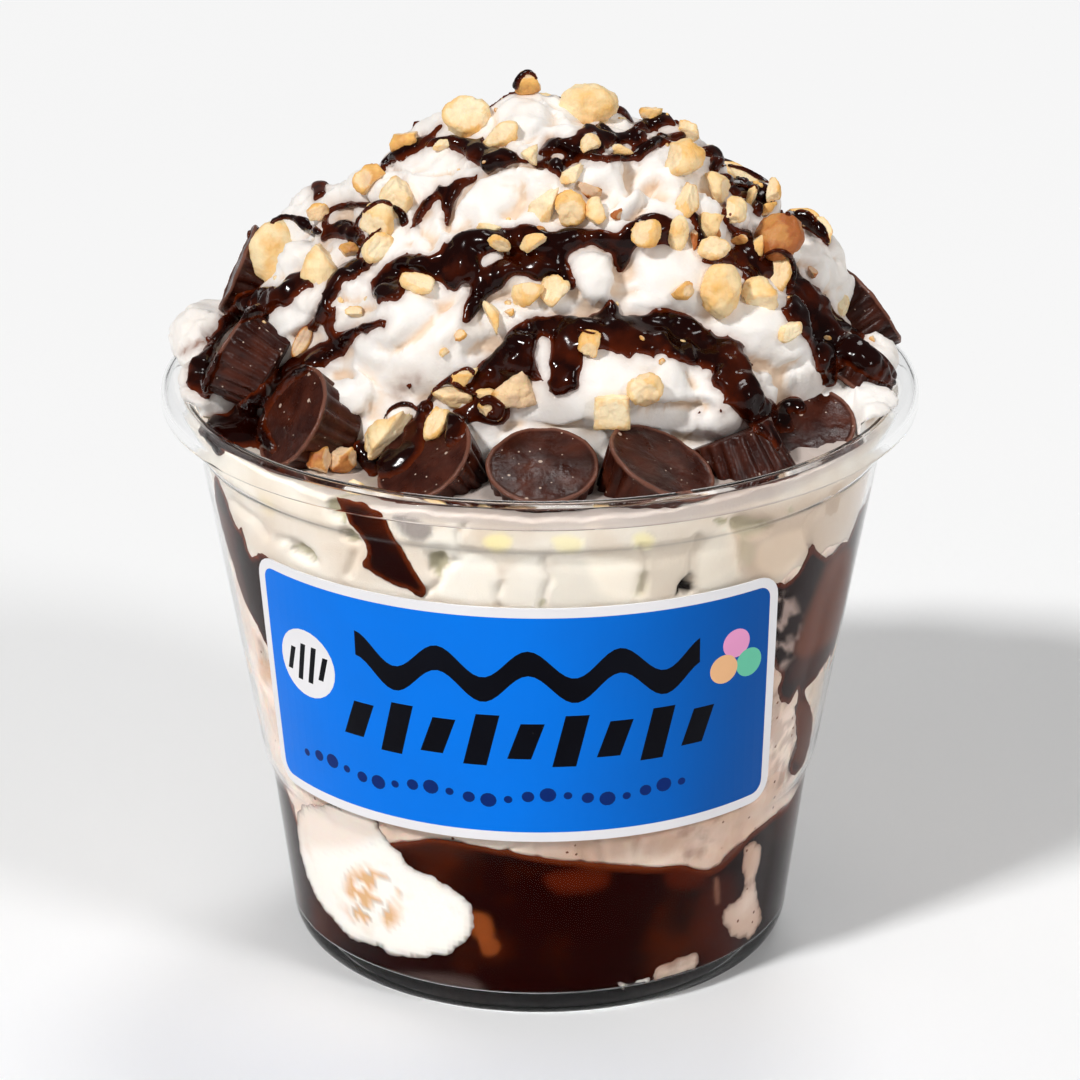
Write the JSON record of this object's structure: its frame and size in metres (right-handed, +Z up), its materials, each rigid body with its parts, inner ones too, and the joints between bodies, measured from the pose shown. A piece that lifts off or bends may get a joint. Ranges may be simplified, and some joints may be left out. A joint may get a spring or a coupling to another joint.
{
  "type": "ice cream sundae",
  "caption": "Ice cream sundae in a clear squat cup, layered with fudge and ice cream and heaped with whipped cream, chopped nuts, fudge drizzle and small fluted chocolate cups.",
  "frame": {"origin": "centre of the cup's foot ring, on the surface that it stands on", "axes": "+Z up along the cup's axis, the label faces -Y, +X is to the right seen from the label's side"},
  "size_m": [0.098, 0.098, 0.1179],
  "materials": {
    "clear_plastic": "clear glossy moulded plastic",
    "label_print": "glossy printed film",
    "fudge": "wet glossy sauce",
    "ice_cream": "soft frozen cream",
    "whipped_cream": "soft white foam",
    "chocolate": "semi-gloss moulded chocolate",
    "nuts": "dry chopped nut"
  },
  "bodies": {
    "root": {"cup": "clear_plastic", "label": "label_print", "fudge_layer": "fudge", "ice_cream_layer": "ice_cream", "fudge_ribbon_left": "fudge", "fudge_ribbon_front": "fudge", "fudge_ribbon_right": "fudge", "fudge_ribbon_back_right": "fudge", "fudge_ribbon_back_left": "fudge", "whipped_cream": "whipped_cream", "chocolate_cup_01": "chocolate", "chocolate_cup_02": "chocolate", "chocolate_cup_03": "chocolate", "chocolate_cup_04": "chocolate", "chocolate_cup_05": "chocolate", "chocolate_cup_06": "chocolate", "chocolate_cup_07": "chocolate", "chocolate_cup_08": "chocolate", "chocolate_cup_09": "chocolate", "chocolate_cup_10": "chocolate", "chocolate_cup_11": "chocolate", "chocolate_cup_12": "chocolate", "chocolate_cup_13": "chocolate", "chocolate_cup_14": "chocolate", "chocolate_cup_15": "chocolate", "chocolate_cup_16": "chocolate", "chocolate_cup_17": "chocolate"}
  },
  "joints": []
}
